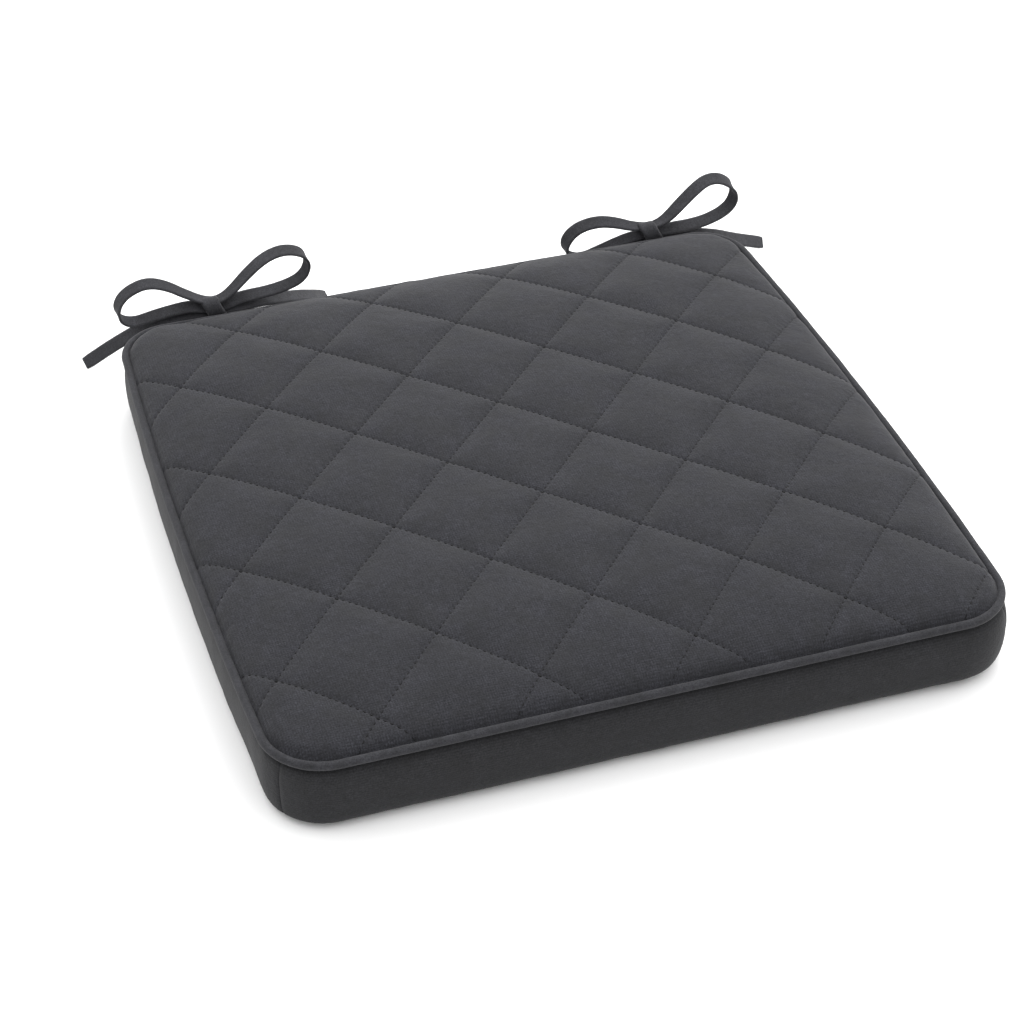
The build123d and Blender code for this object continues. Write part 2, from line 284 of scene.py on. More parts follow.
def backing_material():
    """Spun-bonded backing with its grid of small welded dots."""
    surface = Surface("spunbond_backing", (0.10, 0.10, 0.105), roughness=0.8)
    across = surface.weave(0.0014, "X", 0.1)
    along = surface.weave(0.0014, "Y", 0.1)
    surface.tint(across, 0.85, 1.1)
    surface.tint(along, 0.85, 1.1)
    surface.relief(across, 0.00008)
    surface.relief(along, 0.00008)
    surface.worn(surface.noise(0.006), 0.7, 0.9)
    return surface.finish()


def foam_material():
    """Open-cell seat foam, slightly yellowed in patches."""
    surface = Surface("seat_foam", (0.62, 0.58, 0.46), roughness=0.95)
    cells = surface.noise(0.0009, 3.0)
    surface.tint(cells, 0.75, 1.1)
    surface.tint(surface.noise(0.05), 0.93, 1.04)
    surface.relief(cells, 0.0005)
    surface.worn(cells, 0.88, 1.0)
    return surface.finish()


def rope_material():
    """Cotton filler cord inside the piping."""
    surface = Surface("filler_cord", (0.66, 0.64, 0.60), sheen=0.2)
    lay = surface.weave(0.0016, "DIAGONAL", 0.5)
    surface.tint(lay, 0.7, 1.05, 0.1, 0.9)
    surface.relief(lay, 0.0004)
    surface.worn(surface.noise(0.003), 0.85, 0.98)
    return surface.finish()


def tape_material():
    """Zip tape in a fine twill."""
    surface = Surface("zip_tape_twill", (0.030, 0.030, 0.032), roughness=0.8, sheen=0.15)
    twill = surface.weave(0.0007, "DIAGONAL", 0.2)
    surface.tint(twill, 0.7, 1.25, 0.2, 0.8)
    surface.tint(surface.noise(0.01), 0.92, 1.08)
    surface.relief(twill, 0.00012)
    surface.worn(surface.noise(0.002), 0.7, 0.9)
    return surface.finish()


def coil_material():
    """Nylon monofilament of the zip's teeth."""
    surface = Surface("zip_coil_nylon", (0.028, 0.028, 0.030), roughness=0.35, specular=0.5)
    wear = surface.noise(0.003, 3.0)
    surface.tint(wear, 0.8, 1.3)
    surface.relief(surface.noise(0.0006), 0.00003)
    surface.worn(wear, 0.3, 0.5)
    return surface.finish()


def enamel_material():
    """Dark enamelled zinc with rubbed patches and fine scratches."""
    surface = Surface("zip_enamel", (0.045, 0.045, 0.048), roughness=0.3, specular=0.6, metallic=0.6)
    rubbed = surface.noise(0.004, 4.0)
    surface.tint(rubbed, 0.8, 2.2, 0.45, 0.75)
    scratches = surface.noise(0.0008, 3.0, (0.12, 1, 1))
    surface.relief(scratches, 0.00003)
    surface.worn(scratches, 0.22, 0.5)
    return surface.finish()


# ---- mesh helpers -------------------------------------------------------------------------------
def mesh_object(name, vertices, faces, material=None):
    """faces is an array of quads, or a list where faces of several sizes meet."""
    mesh = bpy.data.meshes.new(name)
    face_list = faces.tolist() if isinstance(faces, np.ndarray) else faces
    mesh.from_pydata(np.asarray(vertices, float).tolist(), [], face_list)
    mesh.shade_smooth()
    if material is not None:
        mesh.materials.append(material)
    return link(name, mesh)


def grid_faces(rows, columns, wrap_rows=False, wrap_columns=False):
    """Quads of a grid of rows x columns points, which may close on itself either way."""
    row = np.arange(rows if wrap_rows else rows - 1)
    column = np.arange(columns if wrap_columns else columns - 1)
    r, c = np.meshgrid(row, column, indexing="ij")
    next_r = (r + 1) % rows
    next_c = (c + 1) % columns
    corners = [r * columns + c, next_r * columns + c, next_r * columns + next_c, r * columns + next_c]
    return np.stack(corners, -1).reshape(-1, 4)


def thicken(obj, thickness):
    """Gives a sheet the cloth's thickness, inwards, and turned edges."""
    modifier = obj.modifiers.new("cloth_thickness", "SOLIDIFY")
    modifier.thickness = thickness
    modifier.offset = -1
    return obj


def place(obj, slot, body, *nodes):
    """obj rides a body and stands for these CAD nodes. slot is not used."""
    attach(obj, body)
    if nodes:
        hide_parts(*nodes)
    return obj


def ripple(points, size, seed=0.0):
    """Smooth noise from -1 to 1 at each point, its features about `size` metres across."""
    scaled = np.asarray(points, float) / size
    return np.array([noise.noise((p[0] + seed, p[1], p[2] - seed)) for p in scaled])


def smooth_curve(points, count):
    """`count` points on a smooth curve through the given ones, evenly spaced by point number."""
    points = np.asarray(points, float)
    ends = (2 * points[:1] - points[1:2], points, 2 * points[-1:] - points[-2:-1])
    padded = np.vstack(ends)
    at = np.linspace(0, len(points) - 1, count)
    index = np.minimum(at.astype(int), len(points) - 2)
    t = (at - index)[:, None]
    p0, p1, p2, p3 = (padded[index + offset] for offset in range(4))
    return 0.5 * (2 * p1 + (p2 - p0) * t + (2 * p0 - 5 * p1 + 4 * p2 - p3) * t**2
                  + (3 * p1 - p0 - 3 * p2 + p3) * t**3)


# ---- plan outline -------------------------------------------------------------------------------
def right_side_circle():
    """Centre x, centre y and radius of the shallow arc that the right side follows."""
    points = [(FRONT_WIDTH / 2, -DEPTH / 2), ((FRONT_WIDTH + BACK_WIDTH) / 4 + SIDE_BOW, 0.0),
              (BACK_WIDTH / 2, DEPTH / 2)]
    rows = [(2 * x, 2 * y, 1.0) for x, y in points]
    x, y, rest = np.linalg.solve(rows, [px * px + py * py for px, py in points])
    return x, y, math.sqrt(rest + x * x + y * y)


SIDE_X, SIDE_Y, SIDE_RADIUS = right_side_circle()


def corner_centre(radius, end):
    """Centre of the right-hand corner's circle at the front (end = -1) or the back (end = 1)."""
    y = end * (DEPTH / 2 - radius)
    return SIDE_X + math.sqrt((SIDE_RADIUS - radius) ** 2 - (y - SIDE_Y) ** 2), y


def arc(centre, radius, start, finish, count):
    angles = np.linspace(start, finish, count)
    return [(centre[0] + radius * math.cos(a), centre[1] + radius * math.sin(a)) for a in angles]


def piping_line():
    """Points round the piping line, anticlockwise from the middle of the back edge."""
    right = []
    front, back = corner_centre(FRONT_CORNER, -1), corner_centre(BACK_CORNER, 1)
    front_turn = math.atan2(front[1] - SIDE_Y, front[0] - SIDE_X)
    back_turn = math.atan2(back[1] - SIDE_Y, back[0] - SIDE_X)
    right += [(x, -DEPTH / 2) for x in np.linspace(0, front[0], 200, endpoint=False)]
    right += arc(front, FRONT_CORNER, -math.pi / 2, front_turn, 60)[:-1]
    right += arc((SIDE_X, SIDE_Y), SIDE_RADIUS, front_turn, back_turn, 400)[:-1]
    right += arc(back, BACK_CORNER, back_turn, math.pi / 2, 60)[:-1]
    right += [(x, DEPTH / 2) for x in np.linspace(back[0], 0, 200)]
    left = [(-x, y) for x, y in reversed(right)]
    return np.array(left[:-1] + right[:-1])


LINE = piping_line()
LINE_STEPS = np.linalg.norm(np.roll(LINE, -1, 0) - LINE, axis=1)
LINE_LENGTHS = np.concatenate([[0.0], np.cumsum(LINE_STEPS)])
PERIMETER = LINE_LENGTHS[-1]
CHORDS = np.roll(LINE, -1, 0) - np.roll(LINE, 1, 0)
LINE_NORMALS = np.stack([CHORDS[:, 1], -CHORDS[:, 0]], 1) / np.linalg.norm(CHORDS, axis=1)[:, None]


def on_outline(lengths, grow):
    """Plan points `grow` outside the piping line, at lengths along it from the middle of the back."""
    wrapped = np.mod(lengths, PERIMETER)
    closed = [np.vstack([table, table[:1]]) for table in (LINE, LINE_NORMALS)]
    x, y, nx, ny = (np.interp(wrapped, LINE_LENGTHS, table[:, axis])
                    for table in closed for axis in (0, 1))
    return np.stack([x + nx * grow, y + ny * grow], -1)


def outline_points(lengths, grow):
    """Plan points at lengths along the outline, each its own distance outside it."""
    base = on_outline(lengths, 0.0)
    return base + (on_outline(lengths, 1.0) - base) * grow[:, None]


def length_at(x=None, y=None, side=1):
    """Length along the piping line where it passes x at the back, or y on the left (-1) or right (1)."""
    if x is not None:
        wanted = np.where(LINE[:, 1] > 0.9 * DEPTH / 2, np.abs(LINE[:, 0] - x), 1.0)
    else:
        wanted = np.where(LINE[:, 0] * side > 0.15, np.abs(LINE[:, 1] - y), 1.0)
    return LINE_LENGTHS[np.argmin(wanted)]


def edge_distances(x, y):
    """Distances inwards from the front, back, right and left edges."""
    right = SIDE_RADIUS - np.hypot(x - SIDE_X, y - SIDE_Y)
    left = SIDE_RADIUS - np.hypot(-x - SIDE_X, y - SIDE_Y)
    return y + DEPTH / 2, DEPTH / 2 - y, right, left


def inset(x, y):
    """Distance inside the piping line, negative outside it."""
    inside = np.minimum.reduce(edge_distances(x, y))
    for radius, end in ((FRONT_CORNER, -1), (BACK_CORNER, 1)):
        centre_x, centre_y = corner_centre(radius, end)
        dx, dy = np.abs(x) - centre_x, end * (y - centre_y)
        inside = np.where((dx > 0) & (dy > 0), radius - np.hypot(dx, dy), inside)
    return inside


def crown(x, y):
    """Height of the quilting lines over the plan."""
    rise = np.prod([1 - np.exp(-np.maximum(e, 0) / CROWN_REACH) for e in edge_distances(x, y)], axis=0)
    from_groove = np.maximum(inset(x, y) - GROOVE_WIDTH, 0)
    edge = TOP_EDGE_RISE * (1 - np.exp(-from_groove / 0.0022))
    return PIPING_HEIGHT + edge + CROWN * rise


# ---- quilted top --------------------------------------------------------------------------------
def lattice_grid(divisions_a, divisions_b, rows_near_line=()):
    """A grid in step with the quilting lines, trimmed to the pad: a, b, x, y of its points, and faces.

    rows_near_line adds rows that far from each line, in divisions."""
    def cuts(divisions):
        whole = np.arange(-LATTICE_REACH * divisions, LATTICE_REACH * divisions + 1, dtype=float)
        near = [line * divisions + side * step for line in range(-LATTICE_REACH, LATTICE_REACH + 1)
                for step in rows_near_line for side in (-1, 1)]
        return np.unique(np.concatenate([whole, near])) / divisions

    a, b = np.meshgrid(cuts(divisions_a), cuts(divisions_b), indexing="ij")
    rows, columns = a.shape
    a, b = a.ravel(), b.ravel()
    x, y = (CROSSING[axis] + a * STEP_A[axis] + b * STEP_B[axis] for axis in (0, 1))
    inside = inset(x, y)
    faces = grid_faces(rows, columns)
    faces = faces[(inside[faces] > 0).any(1)]
    used, faces = np.unique(faces, return_inverse=True)
    a, b, x, y, inside = (values[used] for values in (a, b, x, y, inside))
    # Points outside the piping line are moved onto it.
    step = 1e-5
    slope_x = (inset(x + step, y) - inside) / step
    slope_y = (inset(x, y + step) - inside) / step
    outside = np.minimum(inside, 0)
    return a, b, x - slope_x * outside, y - slope_y * outside, faces.reshape(-1, 4)[:, ::-1]


def line_distances(a, b):
    """Distances to the nearest quilting line of each family."""
    return np.abs(a - np.round(a)) * SPACING_A, np.abs(b - np.round(b)) * SPACING_B


SIM_SCALE = 20.0  # the sheet is simulated this much larger, where the solver's numbers suit cloth
SIM_DIVISIONS = 12
SIM_FRAMES = 20
RISE_CAP = 0.016  # the cloth is not let further off its lines than this


def inflate(obj, pinned, pressure):
    """Lets air pressure lift the cloth between its pinned points, and returns its relaxed points."""
    group = obj.vertex_groups.new(name="stitched")
    group.add([int(i) for i in pinned], 1.0, "REPLACE")
    cloth = obj.modifiers.new("Cloth", "CLOTH")
    settings = cloth.settings
    settings.quality = 6
    settings.mass = 0.12
    settings.tension_stiffness = 12
    settings.compression_stiffness = 6
    settings.shear_stiffness = 4
    settings.bending_stiffness = 0.4
    settings.use_pressure = True
    settings.uniform_pressure_force = pressure
    settings.vertex_group_mass = group.name
    settings.shrink_min = -0.03
    settings.effector_weights.gravity = 0.0
    cloth.collision_settings.use_collision = False
    cloth.point_cache.frame_start = 1
    cloth.point_cache.frame_end = SIM_FRAMES
    for step in range(1, SIM_FRAMES + 1):
        bpy.context.scene.frame_set(step)
    evaluated = obj.evaluated_get(bpy.context.evaluated_depsgraph_get())
    relaxed = np.array([v.co for v in evaluated.data.vertices])
    obj.modifiers.remove(cloth)
    bpy.context.scene.frame_set(1)
    return relaxed


def puffed_sheet():
    """The top stitched along its quilting lines and blown up between them, as a surface to measure."""
    a, b, x, y, faces = lattice_grid(SIM_DIVISIONS, SIM_DIVISIONS)
    flat = crown(x, y)
    near = np.minimum(*line_distances(a, b))
    sheet = mesh_object("sheet", np.stack([x, y, flat], 1) * SIM_SCALE, faces)
    pinned = np.flatnonzero((near < 0.0005) | (inset(x, y) < 0.001))
    relaxed = inflate(sheet, pinned, 4.0) / SIM_SCALE
    bpy.data.objects.remove(sheet)
    rise = np.clip(relaxed[:, 2] - flat, 0, RISE_CAP)
    lift = (rise / np.percentile(rise, 92)) ** 0.8  # about 1 at the middle of a full diamond
    sheet = mesh_object("sheet", np.stack([x, y, lift * PUFF], 1), faces)
    smooth = sheet.modifiers.new("smooth", "SUBSURF")
    smooth.levels = 2
    evaluated = sheet.evaluated_get(bpy.context.evaluated_depsgraph_get())
    points = [v.co.copy() for v in evaluated.data.vertices]
    surface = BVHTree.FromPolygons(points, [tuple(p.vertices) for p in evaluated.data.polygons])
    bpy.data.objects.remove(sheet)
    return surface


def lattice_of(x, y):
    """Place in steps A and B of plan points."""
    turn = np.linalg.inv(np.stack([STEP_A, STEP_B], 1))
    return turn @ (np.stack([x, y]) - CROSSING[:, None])


def quilt_height(x, y, sheet):
    """Height of the quilted face: crown, padding, stitched grooves and the small puckers along them."""
    a, b = lattice_of(x, y)
    hits = [sheet.ray_cast(Vector((px, py, 1.0)), Vector((0, 0, -1)))[0] for px, py in zip(x, y)]
    puff = np.array([0.0 if hit is None else hit.z for hit in hits])
    from_a, from_b = line_distances(a, b)
    inside = inset(x, y)
    height = crown(x, y) + puff
    plan = np.stack([x, y, np.zeros_like(x)], 1)
    height += 0.00035 * ripple(plan, 0.022) + 0.00016 * ripple(plan, 0.0075, 5.0)
    edge_pucker = np.exp(-np.maximum(inside - GROOVE_WIDTH, 0) / 0.006)
    height += 0.00045 * edge_pucker * ripple(plan, 0.0065, 9.0)
    for gap, along, stitches in ((from_a, b, STITCHES_B), (from_b, a, STITCHES_A)):
        hole = 0.5 + 0.5 * np.cos(2 * np.pi * along * stitches)  # 1 at a needle hole, 0 between
        height -= QUILT_GROOVE * np.exp(-((gap / 0.0011) ** 2)) * (0.4 + 1.0 * hole)
        height += 0.00022 * np.exp(-(((gap - 0.0026) / 0.0014) ** 2)) * (0.5 - hole)
    return height


def make_quilted_top(sheet, material):
    a, b, x, y, faces = lattice_grid(3 * STITCHES_A, 3 * STITCHES_B, (0.35,))
    height = quilt_height(x, y, sheet)
    # The rim turns down into the seam, inside the piping.
    height -= 0.0015 * np.exp(-np.maximum(inset(x, y), 0) / 0.0008)
    top = mesh_object("quilted_top", np.stack([x, y, height], 1), faces, material)
    thicken(top, COVER)
    place(top, "quilted_fabric", "root", "quilted_top_face")


THREAD_RADIUS = 0.00042
STITCH_SIDES = 6
# Each ring of a stitch: how far along it is, and its share of the thread's radius.
STITCH_RINGS = ((0.0, 0.35), (0.16, 0.9), (0.38, 1.0), (0.62, 1.0), (0.84, 0.9), (1.0, 0.35))


def stitch(start, finish, middle):
    """One stitch of thread from needle hole to needle hole: the rings of a thin arched tube."""
    along = (finish - start) / np.linalg.norm(finish - start)
    across = np.cross((0, 0, 1.0), along)
    upwards = np.cross(along, across)
    rings = []
    for t, thick in STITCH_RINGS:
        centre = start + (finish - start) * t + np.array([0, 0, 4 * t * (1 - t) * middle])
        for k in range(STITCH_SIDES):
            angle = 2 * math.pi * k / STITCH_SIDES
            spread = across * math.cos(angle) + upwards * math.sin(angle)
            rings.append(centre + THREAD_RADIUS * thick * spread)
    return rings


def make_quilt_stitching(sheet, material):
    """Every quilting stitch inside the piping."""
    starts, finishes = [], []
    lines = ((STEP_A, STEP_B, STITCHES_B), (STEP_B, STEP_A, STITCHES_A))
    for across, along, stitches in lines:
        for line in range(-LATTICE_REACH, LATTICE_REACH + 1):
            for k in range(-LATTICE_REACH * stitches, LATTICE_REACH * stitches):
                ends = [CROSSING + line * across + (k + share) / stitches * along
                        for share in (-STITCH_SHARE, STITCH_SHARE)]
                if min(inset(*ends[0]), inset(*ends[1])) > GROOVE_WIDTH:
                    starts.append(ends[0])
                    finishes.append(ends[1])
    starts, finishes = np.array(starts), np.array(finishes)
    middles = (starts + finishes) / 2
    heights = [quilt_height(p[:, 0], p[:, 1], sheet) for p in (starts, finishes, middles)]
    tube = grid_faces(len(STITCH_RINGS), STITCH_SIDES, wrap_columns=True)[:, ::-1]
    vertices, faces = [], []
    for p, q, low, high, centre in zip(starts, finishes, *heights):
        base = len(vertices)
        arch = max(centre - (low + high) / 2, -0.0002) + 0.00012
        vertices += stitch(np.array([*p, low - 0.0001]), np.array([*q, high - 0.0001]), arch)
        last = len(vertices) - 1
        faces += (tube + base).tolist()
        faces += [tuple(range(base, base + STITCH_SIDES)), tuple(range(last, last - STITCH_SIDES, -1))]
    thread = mesh_object("quilting_thread_painted_shade", vertices, faces, material)
    place(thread, "thread", "root", "quilt_stitching")


LAYER_TRIM = 0.972  # the layers under the face stop short of the piping seam


def make_quilt_layer(name, node, slot, sheet, below, thickness, material):
    """A layer of the quilting under its face, pressed thin along the quilting lines."""
    _, _, x, y, faces = lattice_grid(SIM_DIVISIONS, SIM_DIVISIONS)
    x, y = x * LAYER_TRIM, y * LAYER_TRIM
    height = quilt_height(x, y, sheet) - below
    bed = crown(x, y) - below - thickness - 0.0004
    upper = np.stack([x, y, height], 1)
    lower = np.stack([x, y, np.minimum(bed, height - 0.0003)], 1)
    directed = np.vstack([faces[:, [i, (i + 1) % 4]] for i in range(4)])
    undirected = np.sort(directed, axis=1)
    _, inverse, counts = np.unique(undirected, axis=0, return_inverse=True, return_counts=True)
    start, finish = directed[counts[inverse.ravel()] == 1].T
    walls = np.stack([finish, start, start + len(x), finish + len(x)], 1)
    all_faces = np.vstack([faces, faces[:, ::-1] + len(x), walls])
    layer = mesh_object(name, np.vstack([upper, lower]), all_faces, material)
    return place(layer, slot, "root", node)


# ---- piping -------------------------------------------------------------------------------------
def make_piping(material):
    """The corded piping: a slightly uneven tube with the lap where its ends join at the back."""
    rings, sides = 860, 18
    lengths = np.linspace(0, PERIMETER, rings, endpoint=False)
    centre = on_outline(lengths, 0.0)
    outward = on_outline(lengths, 1.0) - centre
    line = np.column_stack([centre, np.zeros(rings)])
    radius = PIPING_RADIUS * (1 + 0.03 * ripple(line, 0.012) + 0.02 * ripple(line, 0.004, 3.0))
    lap = 0.0165  # from the middle of the back to the slanted lap
    radius *= 1 + 0.13 * np.exp(-(((lengths - lap) / 0.005) ** 2))
    drift = 0.00025 * ripple(line, 0.03, 7.0)
    vertices = []
    for k in range(sides):
        angle = 2 * math.pi * k / sides
        crease = 1 - 0.05 * ripple(line + [0, 0, k * 0.004], 0.006, 1.5) * max(math.sin(angle), 0)
        out = (radius * crease * math.cos(angle) + drift)[:, None] * outward
        up = PIPING_HEIGHT + radius * crease * math.sin(angle) + drift * 0.6
        vertices.append(np.column_stack([centre + out, up]))
    vertices = np.stack(vertices, 1).reshape(-1, 3)
    piping = mesh_object("piping", vertices, grid_faces(rings, sides, True, True), material)
    thicken(piping, 0.0006)
    place(piping, "piping_fabric", "root", "piping_cover")


# ---- boxing and bottom --------------------------------------------------------------------------
# Height and distance outside the piping line of the boxing's outer face, bottom to top.
BOXING = [(0.0009, -0.0060), (0.0014, -0.0040), (0.0031, -0.0014), (0.0056, 0.0006), (0.0085, 0.0021),
          (0.0125, 0.0031), (0.0170, 0.0037), (0.0225, 0.0040), (0.0280, 0.0038), (0.0335, 0.0029),
          (0.0378, 0.0013), (0.0402, -0.0006), (0.0420, -0.0028), (0.0436, -0.0044)]
LEFT_FULLNESS = 0.45  # the left side is less stuffed than the others
CORNER_BULGE = 0.0022
SEAM_LAP = 0.0012  # each strip goes this far under its neighbour
SLOT_LOW = ZIP_HEIGHT - ZIP_SLOT / 2
SLOT_HIGH = ZIP_HEIGHT + ZIP_SLOT / 2
BOXING_LOWER = ([p for p in BOXING if p[0] < SLOT_LOW - 0.001]
                + [(SLOT_LOW - 0.0004, 0.0037), (SLOT_LOW, 0.0028), (SLOT_LOW, 0.0), (SLOT_LOW, -0.0034)])
BOXING_UPPER = ([(SLOT_HIGH, -0.0034), (SLOT_HIGH, 0.0), (SLOT_HIGH, 0.0029), (SLOT_HIGH + 0.0004, 0.0038)]
                + [p for p in BOXING if p[0] > SLOT_HIGH + 0.001])


def make_boxing(node, profile, start, finish, material):
    """One strip of the boxing along part of the outline, puckered at its seams."""
    columns = 40
    rows = int((finish - start) / 0.002)
    lengths = np.linspace(start - SEAM_LAP, finish + SEAM_LAP, rows)
    curve = smooth_curve(profile, columns)
    along = np.repeat(lengths, columns)
    height = np.tile(curve[:, 0], rows)
    grow = np.tile(curve[:, 1], rows)
    wall = np.column_stack([on_outline(along, 0.0), height])
    fullness = np.interp(wall[:, 0], (-0.212, -0.165), (LEFT_FULLNESS, 1.0))
    grow = np.where(grow > 0, grow * fullness, grow)
    top_seam = np.exp(-np.abs(height - PIPING_HEIGHT) / 0.006)
    bottom_seam = np.exp(-height / 0.005)
    free = np.clip(height / 0.006, 0, 1) * np.clip((PIPING_HEIGHT - height) / 0.006, 0, 1)
    upright = wall * [1, 1, 0.45]
    grow = grow + free * (0.0006 * ripple(upright, 0.045) + 0.00028 * ripple(upright, 0.014, 4.0))
    grow += 0.0006 * top_seam * ripple(wall * [1, 1, 0.2], 0.0075, 2.0)
    grow += 0.0005 * bottom_seam * ripple(wall * [1, 1, 0.2], 0.0085, 6.0)
    # The filling pushes the wall out at the front right corner.
    from_corner = np.hypot(wall[:, 0] - FRONT_WIDTH / 2, wall[:, 1] + DEPTH / 2)
    grow += CORNER_BULGE * np.exp(-((from_corner / 0.030) ** 2)) * free
    # The strip's ends dip into their seams.
    from_end = np.minimum(along - start, finish - along)
    grow -= 0.0005 * np.exp(-((np.maximum(from_end, 0) / 0.0009) ** 2)) * free
    grow -= np.where(from_end < 0, 0.0009, 0)
    vertices = np.column_stack([outline_points(along, grow), height])
    strip = mesh_object(f"{node}_strip", vertices, grid_faces(rows, columns), material)
    thicken(strip, COVER)
    place(strip, "cover_fabric", "root", node)


def make_bottom(material):
    """The bottom panel, flat where it rests, with its seam turned up to the boxing."""
    rings, around = 46, 600
    lengths = np.linspace(0, PERIMETER, around, endpoint=False)
    edge = on_outline(lengths, -0.0058)
    vertices = [(0.0, 0.0, 0.0006)]
    for share in np.linspace(0.03, 1.0, rings):
        ring = edge * share
        from_edge = (1 - share) * 0.21
        pucker = ripple(np.column_stack([ring, np.zeros(around)]), 0.011, 8.0)
        height = 0.0005 + 0.0004 * math.exp(-from_edge / 0.004)
        height = height + 0.0004 * pucker * math.exp(-from_edge / 0.012)
        vertices += np.column_stack([ring, np.maximum(height, 0.0002)]).tolist()
    faces = [(0, 1 + i, 1 + (i + 1) % around) for i in range(around)]
    faces += (grid_faces(rings, around, wrap_columns=True) + 1).tolist()
    panel = thicken(mesh_object("bottom_cover", vertices, faces, material), -COVER * 0.6)
    place(panel, "cover_fabric", "root", "bottom_panel")


# Height and distance outside the piping line of the foam block's side.
FOAM = [(0.0013, -0.0090), (0.0034, -0.0052), (0.0080, -0.0020), (0.0160, -0.0006), (0.0280, -0.0006),
        (0.0345, -0.0012), (0.0370, -0.0030)]
FOAM_GROOVE = 0.0085  # how far the foam gives way behind the zip


def make_foam(material):
    """The cut block of seat foam, filling the boxing from inside."""
    rings, around = 30, 500
    lengths = np.linspace(0, PERIMETER, around, endpoint=False)
    side = smooth_curve(FOAM, rings)
    wall = np.vstack([np.column_stack([on_outline(lengths, grow), np.full(around, height)])
                      for height, grow in side])
    wall[:, :2] += 0.0004 * ripple(wall, 0.012)[:, None] * unit(wall[:, :2])
    at_back = wall[:, 1] > 0.9 * DEPTH / 2
    behind_panel = np.clip((ZIP_PANEL + 0.008 - np.abs(wall[:, 0])) / 0.006, 0, 1)
    at_zip = np.exp(-(((wall[:, 2] - ZIP_HEIGHT) / 0.011) ** 4))
    wall[:, 1] -= FOAM_GROOVE * at_back * behind_panel * at_zip
    vertices = np.vstack([wall, [(0.0, 0.0, FOAM[0][0]), (0.0, 0.0, FOAM[-1][0])]])
    under, over, last = len(wall), len(wall) + 1, len(wall) - around
    faces = grid_faces(rings, around, wrap_columns=True)[:, ::-1].tolist()
    faces += [(under, (i + 1) % around, i) for i in range(around)]
    faces += [(over, last + i, last + (i + 1) % around) for i in range(around)]
    foam = mesh_object("foam_block", vertices, faces, material)
    place(foam, "foam", "root", "foam_core")


# ---- zip ----------------------------------------------------------------------------------------
def make_coil(name, node, side, material):
    """Half of the zip's coil: one nylon thread wound into a row of loops."""
    pitch, wire, loop, reach = 0.0014, 0.00026, 0.00062, 0.00100
    turns = int(2 * ZIP_HALF / pitch)
    per_turn, sides = 9, 5
    steps = np.arange(turns * per_turn + 1)
    angle = 2 * np.pi * steps / per_turn
    x = -ZIP_HALF + steps * pitch / per_turn
    middle_y = TAPE_FACE + 0.0009
    middle_z = ZIP_HEIGHT + side * 0.00150
    line = np.column_stack([x, middle_y + loop * np.cos(angle), middle_z + side * reach * np.sin(angle)])
    outward = np.column_stack([np.zeros_like(x), np.cos(angle), side * np.sin(angle)])
    sideways = np.array([1.0, 0, 0])
    rings = [line + wire * (outward * math.cos(t) + sideways * math.sin(t))
             for t in np.linspace(0, 2 * math.pi, sides, endpoint=False)]
    vertices = np.stack(rings, 1).reshape(-1, 3)
    faces = grid_faces(len(steps), sides, wrap_columns=True)
    coil = mesh_object(name, vertices, faces if side > 0 else faces[:, ::-1], material)
    place(coil, "zip_coil", "root", node)


